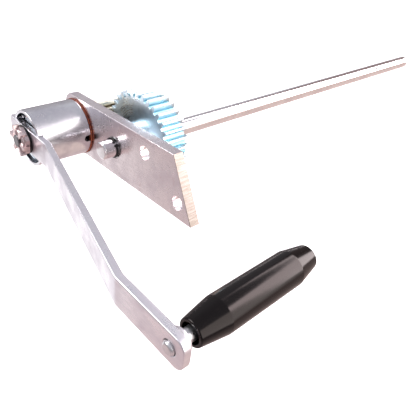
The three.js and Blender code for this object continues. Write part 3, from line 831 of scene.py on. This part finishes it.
def make_spindle():
    front, back = ends_of("pinion_spindle")
    shoulder = CUP_FLOOR + CUP_WEB + GAP
    square_end = ARM_FACE + GAP
    profile = [(0, front), (THREAD - THREAD_CHAMFER, front)]
    y = front + THREAD_DEPTH
    while y + THREAD_PITCH < square_end:
        profile += [(THREAD, y), (THREAD - THREAD_DEPTH, y + THREAD_PITCH / 2)]
        y += THREAD_PITCH
    profile += [
        (SPINDLE_NECK, square_end), (SPINDLE_NECK, shoulder), (SPINDLE_SHOULDER, shoulder),
        (SPINDLE_SHOULDER, SPINDLE_SHOULDER_END), (SPINDLE_JOURNAL, SPINDLE_SHOULDER_END),
        (SPINDLE_JOURNAL, back), (0, back),
    ]
    spindle = turned("pinion_spindle_skin", profile, SMALL_ROUND, edge=0.25)
    side = SQUARE / 2 - GAP
    square = block("square", (-side, square_end, -side), (side, shoulder + 1, side))
    combine(square, [rod("square_round", SQUARE_ROUND, square_end, shoulder + 1, SMALL_ROUND)], "INTERSECT")
    combine(spindle, [square], "UNION")
    place(spindle, CRANK_FRAME, dark_steel, "crank", ["pinion_spindle"])


def make_pinion():
    front, back = ends_of("pinion")
    outline = spur_outline(PINION, pinion_turn())
    pinion = slab("pinion_skin", outline, [circle(WHEEL_BORE)], front, back, edge=0.35)
    place(pinion, CRANK_FRAME, pinion_metal, "crank", ["pinion"])


# ---------- crank arm and its fastening ----------


def arm_line():
    """The arm's centre line: its slope, its three straight lengths, each bend's length and the head's Y."""
    head, first, second, end = ARM_STATIONS
    head_y = ARM_FACE + ARM_THICKNESS / 2
    end_y = ARM_END_FACE + ARM_THICKNESS / 2
    slope = math.atan2(end_y - head_y, second - first)
    setback = ARM_BEND * math.tan(abs(slope) / 2)
    straight = [
        first - head - setback,
        math.hypot(second - first, end_y - head_y) - 2 * setback,
        end - second - setback,
    ]
    bend = ARM_BEND * abs(slope)
    return slope, straight, bend, head_y


def arm_point(along, across):
    """Where a spot of the straight bar goes: `along` its length and `across` its thickness."""
    slope, straight, bend, head_y = arm_line()
    x, y, angle = ARM_STATIONS[0], head_y, 0.0
    left = along
    for length, turn in ((straight[0], slope), (straight[1], -slope), (straight[2], 0.0)):
        step = min(left, length) if turn else left
        x += step * math.cos(angle)
        y += step * math.sin(angle)
        left -= step
        if left <= 0 or not turn:
            break
        part = min(left, bend) / bend
        side = math.copysign(ARM_BEND, turn)
        centre_x = x - side * math.sin(angle)
        centre_y = y + side * math.cos(angle)
        angle += turn * part
        x = centre_x + side * math.sin(angle)
        y = centre_y - side * math.cos(angle)
        left -= min(left, bend)
        if left <= 0:
            break
    return x - across * math.sin(angle), y + across * math.cos(angle)


def arm_outline(length):
    """The straight bar's outline, with its grip end rounded and its head end at zero."""
    half = ARM_WIDTH / 2
    start = length - ARM_CORNER
    return ease([(0, -half), (start, -half), *rounded_end(length, half), (start, half), (0, half)], 1.0)


def rounded_end(length, half):
    """The two rounded corners of the grip end, from the lower to the upper."""
    steps = 8
    centre_x = length - ARM_CORNER
    points = []
    for centre_z, start in ((ARM_CORNER - half, -math.pi / 2), (half - ARM_CORNER, 0.0)):
        for k in range(steps + 1):
            angle = start + math.pi / 2 * k / steps
            points.append((centre_x + ARM_CORNER * math.cos(angle), centre_z + ARM_CORNER * math.sin(angle)))
    return points


def bend_arm(arm):
    """Cuts the straight bar across near its bends, and then bends it."""
    _, straight, bend, _ = arm_line()
    bend_starts = (straight[0], straight[0] + bend + straight[1])
    work = bmesh.new()
    work.from_mesh(arm.data)
    for start in bend_starts:
        for k in range(-2, 9):
            everything = work.verts[:] + work.edges[:] + work.faces[:]
            cut = (start + bend * k / 6, 0, 0)
            bmesh.ops.bisect_plane(work, geom=everything, plane_co=cut, plane_no=(1, 0, 0), dist=1e-4)
    for corner in work.verts:
        corner.co.x, corner.co.y = arm_point(corner.co.x, corner.co.y)
    work.to_mesh(arm.data)
    work.free()


def make_arm():
    _, straight, bend, _ = arm_line()
    length = sum(straight) + 2 * bend
    head_x = -ARM_STATIONS[0]
    grip_x = length - (ARM_STATIONS[3] - GRIP_RADIUS)
    square = [(head_x + x, z) for x, z in polygon(4, SQUARE / math.sqrt(2), math.pi / 4)]
    holes = [square, circle(GRIP_SPINDLE_HOLE, grip_x)]
    half = ARM_THICKNESS / 2
    arm = slab("crank_arm_skin", arm_outline(length), holes, -half, half, edge=0.8)
    bend_arm(arm)
    place(arm, CRANK_FRAME, arm_metal, "crank", ["crank_arm"])


def nut_envelope(front, back):
    """The turned form that the nut's hexagon is cut down to: a slotted crown, a cone and an eased base."""
    crown_start = front + NUT_CROWN_HEIGHT
    outside = NUT_CORNER + 0.3
    end = back + 0.01
    return turned("envelope", [
        (0, front), (NUT_CROWN - 0.7, front), (NUT_CROWN, front + 0.6), (NUT_CROWN + 0.2, crown_start),
        (NUT_CORNER - NUT_CONE, crown_start + 0.2), (outside, crown_start + NUT_CONE), (outside, back - 0.3),
        (NUT_BASE, end), (0, end),
    ], ROUND, edge=0.3)


def make_nut():
    front, back = ends_of("castle_nut")
    nut = slab("castle_nut_skin", polygon(6, NUT_CORNER), [], front, back, edge=0.05, steps=1)
    combine(nut, [nut_envelope(front, back)], "INTERSECT")
    tools = [rod("bore", THREAD + GAP, front - NUT_PAST, back + NUT_PAST)]
    for k in range(3):
        low = (-NUT_SLOT_REACH, front - NUT_PAST, -NUT_SLOT_HALF)
        high = (NUT_SLOT_REACH, COTTER_Y + NUT_SLOT_HALF, NUT_SLOT_HALF)
        tools.append(turn_piece(block("slot", low, high), math.pi / 2 + k * math.pi / 3, "Y"))
    combine(nut, tools)
    turn_piece(soften(nut, 0.2), NUT_TURN, "Y")
    place(nut, CRANK_FRAME, nut_metal, "crank", ["castle_nut"])


def make_washer():
    front, back = ends_of("arm_washer")
    # The washer is black, and shows as the dark crescent beside the nut.
    washer = ring("arm_washer_skin", ARM_WASHER_OUTER, THREAD + GAP, front, back, edge=0.25)
    place(washer, CRANK_FRAME, black_metal, "crank", ["arm_washer"])


def wire(name, points, radius):
    """A round wire along points, in millimetres."""
    curve = bpy.data.curves.new(name, "CURVE")
    curve.dimensions = "3D"
    curve.bevel_depth = radius
    curve.bevel_resolution = 4
    curve.resolution_u = 8
    curve.use_fill_caps = True
    spline = curve.splines.new("BEZIER")
    spline.bezier_points.add(len(points) - 1)
    for bezier, point in zip(spline.bezier_points, points):
        bezier.co = point
        bezier.handle_left_type = "AUTO"
        bezier.handle_right_type = "AUTO"
    maker = bpy.data.objects.new(name, curve)
    bpy.context.scene.collection.objects.link(maker)
    bpy.context.view_layer.update()
    mesh = bpy.data.meshes.new_from_object(maker.evaluated_get(bpy.context.evaluated_depsgraph_get()))
    bpy.data.objects.remove(maker)
    piece = bpy.data.objects.new(name, mesh)
    bpy.context.scene.collection.objects.link(piece)
    return piece


def make_cotter():
    """A doubled wire with an eye at one end and its two legs bent apart at the other."""
    half = 0.45
    reach = COTTER_REACH
    y = COTTER_Y
    points = [
        (-half, y - 3.0, -reach), (-half, y - 1.0, -reach), (-half, y, 1.6 - reach), (-half, y, 0),
        (-half, y, reach - 1.4), (-half, y - 1.1, reach + 0.4), (0, y - 1.0, reach + 2.0),
        (0, y + 1.0, reach + 2.0), (half, y + 1.1, reach + 0.4), (half, y, reach - 1.4), (half, y, 0),
        (half, y, 1.6 - reach), (half, y + 0.8, -reach), (half, y + 2.4, -reach),
    ]
    pin = turn_piece(wire("cotter_pin_skin", points, COTTER_WIRE), COTTER_TURN, "Y")
    place(pin, CRANK_FRAME, dark_steel, "crank", ["cotter_pin"])


# ---------- grip ----------


def make_grip_sleeve():
    front, back = ends_of("grip_sleeve")
    inner = GRIP_POCKET - 0.2
    sleeve = turned("grip_sleeve_skin", [
        (inner, front + GRIP_POCKET_NEAR), (GRIP_POCKET, front), (GRIP_NEAR_END - 0.5, front),
        (GRIP_NEAR_END, front + 0.6), (GRIP_THICK, front + GRIP_NEAR_CONE),
        (GRIP_THICK, back - GRIP_FAR_CONE), (GRIP_FAR_END, back - 0.5), (GRIP_FAR_END - 0.5, back),
        (GRIP_POCKET, back), (inner, back - GRIP_POCKET_FAR),
    ], edge=0.45, least_turn=0.08)
    place(sleeve, GRIP_FRAME, grip_plastic, "grip", ["grip_sleeve"])


def make_grip_bush():
    front, back = ends_of("grip_bush")
    bush = ring("grip_bush_skin", GRIP_BUSH_OUTER, GRIP_BORE, front, back, SMALL_ROUND)
    place(bush, GRIP_FRAME, bronze_metal, "grip", ["grip_bush"])


def make_grip_cap():
    front, back = ends_of("grip_cap")
    outer = GRIP_POCKET - GAP
    inner = outer - 1.4
    cap = turned("grip_cap_skin", [
        (0, front + 2), (inner, front + 2), (inner, front), (outer, front), (outer, back - 0.9),
        (outer - 1.5, back - 0.2), (0, back),
    ], edge=0.5)
    place(cap, GRIP_FRAME, grip_plastic, "grip", ["grip_cap"])


def make_grip_spindle():
    front, back = ends_of("grip_spindle")
    face = ARM_END_FACE - 0.25
    tail_start = back - SPINDLE_TAIL_LENGTH
    spindle = turned("grip_spindle_skin", [
        (0, front), (RIVET - RIVET_EDGE, front), (RIVET, front + RIVET_EDGE), (RIVET + 0.2, face),
        (GRIP_SPINDLE, face), (GRIP_SPINDLE, tail_start), (SPINDLE_TAIL, tail_start), (SPINDLE_TAIL, back),
        (0, back),
    ], SMALL_ROUND, edge=0.5)
    place(spindle, GRIP_FRAME, bare_metal, "crank", ["grip_spindle"])


def make_collar():
    front, back = ends_of("spindle_collar")
    collar = ring("spindle_collar_skin", COLLAR, GRIP_BORE, front, back, SMALL_ROUND, edge=0.7)
    place(collar, GRIP_FRAME, arm_metal, "crank", ["spindle_collar"])


# ---------- output side ----------


def make_shaft():
    front, back = ends_of("output_shaft")
    profile = [(0, front), (SHAFT - SHAFT_FRONT_CHAMFER, front), (SHAFT, front + SHAFT_FRONT_CHAMFER)]
    for clip in ("shaft_circlip", "gear_circlip"):
        clip_front, clip_back = ends_of(clip)
        low = clip_front - SHAFT_GROOVE_ROOM
        high = clip_back + SHAFT_GROOVE_ROOM
        profile += [(SHAFT, low), (SHAFT_GROOVE, low), (SHAFT_GROOVE, high), (SHAFT, high)]
    profile += [(SHAFT, back - SHAFT_BACK_CHAMFER), (SHAFT - SHAFT_BACK_CHAMFER, back), (0, back)]
    shaft = turned("output_shaft_skin", profile, edge=0.5)
    hole = turn_piece(rod("cross_hole", CROSS_HOLE, -SHAFT - 2 * PAST, SHAFT + 2 * PAST), math.pi / 2, "X")
    turn_piece(hole, CROSS_HOLE_TURN, "Y")
    combine(shaft, [shift_piece(hole, y=CROSS_HOLE_Y)])
    place(shaft, OUTPUT_FRAME, shaft_metal, "output", ["output_shaft"])


def make_gear():
    front, back = ends_of("drive_gear")
    bore = circle(WHEEL_BORE, segments=SMALL_ROUND)
    wheel = slab("drive_gear_skin", spur_outline(GEAR, GEAR_TURN), [bore], WHEEL_START, back, edge=0.4)
    hub_end = WHEEL_START + 2
    hub = turned("hub", [(WHEEL_BORE, front), (HUB, front), (HUB, hub_end), (WHEEL_BORE, hub_end)], edge=0.9)
    combine(wheel, [hub], "UNION")
    place(wheel, OUTPUT_FRAME, gear_metal, "output", ["drive_gear"])


def make_thrust_washer():
    front, back = ends_of("thrust_washer")
    washer = ring("thrust_washer_skin", THRUST_OUTER, THRUST_INNER, front, back, edge=0.2)
    place(washer, OUTPUT_FRAME, bronze_metal, "output", ["thrust_washer"])


def circlip_outline():
    """An open ring with two eared ends that face +X, as one outline with the lug holes apart."""
    mouth = CLIP_LUG * 0.7
    ear_z = mouth + CLIP_LUG * 0.8
    mouth_angle = math.asin(mouth / CLIP_INNER)
    ear_angle = math.asin((ear_z + CLIP_LUG * 0.8) / CLIP_OUTER)
    inside = arc(CLIP_INNER, mouth_angle, 2 * math.pi - mouth_angle, 60)
    outside = arc(CLIP_OUTER, 2 * math.pi - ear_angle, ear_angle, 56)
    lower_ear = arc(CLIP_LUG, 1.2, -2.0, 10, CLIP_OUTER, -ear_z)
    upper_ear = arc(CLIP_LUG, 2.0, -1.2, 10, CLIP_OUTER, ear_z)
    outline = inside + lower_ear + outside + upper_ear
    holes = [circle(CLIP_LUG * 0.4, CLIP_OUTER + CLIP_LUG * 0.2, side * ear_z, 16) for side in (-1, 1)]
    return outline, holes


def make_circlips():
    outline, holes = circlip_outline()
    for node, place_frame, turn, body in (
        ("shaft_circlip", OUTPUT_FRAME, SHAFT_CLIP_TURN, "output"),
        ("gear_circlip", OUTPUT_FRAME, 0.0, "output"),
        ("pinion_circlip", CRANK_FRAME, 0.0, "crank"),
    ):
        front, back = ends_of(node)
        clip = slab(f"{node}_skin", outline, holes, front, back, edge=0.15, steps=2)
        place(turn_piece(clip, turn, "Y"), place_frame, black_metal, body, [node])


def dress_hidden_nodes():
    """CAD nodes that stay are inside the cup, the gears or the grip, and only need a material."""
    looks = {
        "brake_sleeve": dark_steel, "sleeve_screw_1": black_metal, "sleeve_screw_2": black_metal,
        "sleeve_screw_3": black_metal, "wrap_spring": dark_steel, "pinion_key": bare_metal,
        "gear_key": bare_metal, "grip_end_washer": bare_metal, "grip_circlip": black_metal,
    }
    for node, material in looks.items():
        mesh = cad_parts[node].data
        for slot in range(len(mesh.materials)):
            mesh.materials[slot] = material


# ---------- floor, light and camera ----------


def make_floor():
    """A wide pale sheet below the crank's lowest reach, left out of reflections."""
    half = FLOOR_HALF
    corners = [(x, y, FLOOR_HEIGHT) for x, y in ((-half, -half), (half, -half), (half, half), (-half, half))]
    mesh = bpy.data.meshes.new("floor")
    mesh.from_pydata(corners, [], [(0, 1, 2, 3)])
    floor = bpy.data.objects.new("floor", mesh)
    bpy.context.scene.collection.objects.link(floor)
    material, _, shader = new_material("floor_paper")
    shader.inputs["Base Color"].default_value = rgba((0.95, 0.95, 0.95))
    shader.inputs["Roughness"].default_value = 0.9
    shader.inputs["Emission Color"].default_value = rgba((1.0, 1.0, 1.0))
    shader.inputs["Emission Strength"].default_value = 0.35
    mesh.materials.append(material)
    floor.visible_glossy = False


def sky(nodes, height):
    """The sky's colours, by the height of the direction."""
    ramp = nodes.add("ShaderNodeValToRGB")
    nodes.link(nodes.math("MULTIPLY_ADD", height, 0.5, 0.5), ramp.inputs[0])
    elements = ramp.color_ramp.elements
    while len(elements) < len(SKY_STOPS):
        elements.new(0.5)
    for element, (stop, colour) in zip(elements, SKY_STOPS):
        element.position = stop / 2 + 0.5
        element.color = rgba(colour)
    return ramp.outputs[0]


def box_amount(nodes, direction):
    """One inside the bright box's sides, bottom and top, and zero outside them."""
    x, y, z = nodes.split(direction)
    level = nodes.math("MAXIMUM", nodes.hypotenuse(x, y), 0.001)
    bearing = nodes.math("DIVIDE", nodes.along(direction, BOX_SIDE), level)
    in_height = nodes.math("MULTIPLY", nodes.spread(z, *BOX_BOTTOM), nodes.spread(z, *BOX_TOP, 1.0, 0.0))
    return nodes.math("MULTIPLY", nodes.spread(bearing, *BOX_BEARING), in_height)


def mix_patch(nodes, direction, light, patch):
    """Lays a soft round patch of colour over some light."""
    side, reach, colour = patch
    amount = nodes.spread(nodes.along(direction, side), *reach)
    return nodes.mix(amount, light, rgba(colour))


def make_world():
    """A studio: grey and pink sky, a wide bright box behind the gear, and soft patches round it."""
    world = bpy.data.worlds.new("studio")
    bpy.context.scene.world = world
    world.use_nodes = True
    nodes = Nodes(world.node_tree)
    background = world.node_tree.nodes["Background"]
    direction = nodes.add("ShaderNodeTexCoord").outputs["Generated"]
    light = sky(nodes, nodes.split(direction)[2])
    for patch in PATCHES:
        light = mix_patch(nodes, direction, light, patch)
    box = mix_patch(nodes, direction, rgba(BOX_COLOUR), BOX_FLAG)
    nodes.link(nodes.mix(box_amount(nodes, direction), light, box), background.inputs["Color"])
    background.inputs["Strength"].default_value = 1.0


def make_key_light():
    light = bpy.data.lights.new("key", "AREA")
    light.shape = "RECTANGLE"
    light.size = KEY_SIZE
    light.size_y = KEY_SIZE
    light.energy = KEY_POWER
    panel = bpy.data.objects.new("key", light)
    panel.location = KEY_PLACE
    panel.rotation_euler = (Vector(KEY_TARGET) - Vector(KEY_PLACE)).to_track_quat("-Z", "Y").to_euler()
    panel.visible_camera = False
    bpy.context.scene.collection.objects.link(panel)


def make_camera():
    """Looks down about 33 degrees, from the grip's end of the crank side."""
    right = Vector(EYE_RIGHT).normalized()
    ahead = Vector(EYE_AHEAD)
    ahead = (ahead - right * ahead.dot(right)).normalized()
    up = right.cross(ahead)
    camera = bpy.data.cameras.new("camera")
    camera.lens = LENS
    camera.sensor_width = SENSOR
    camera.clip_start = 0.01
    eye = bpy.data.objects.new("camera", camera)
    axes = Matrix((right, up, -ahead)).transposed().to_4x4()
    eye.matrix_world = Matrix.Translation(EYE_PLACE) @ axes
    bpy.context.scene.collection.objects.link(eye)
    bpy.context.scene.camera = eye


make_plate()
make_bushes()
make_lining()
make_cup()
make_release_pins()
make_spindle()
make_pinion()
make_arm()
make_nut()
make_washer()
make_cotter()
make_grip_sleeve()
make_grip_bush()
make_grip_cap()
make_grip_spindle()
make_collar()
make_shaft()
make_gear()
make_thrust_washer()
make_circlips()
dress_hidden_nodes()
make_floor()
make_world()
make_key_light()
make_camera()
bpy.context.scene.view_settings.view_transform = "Standard"
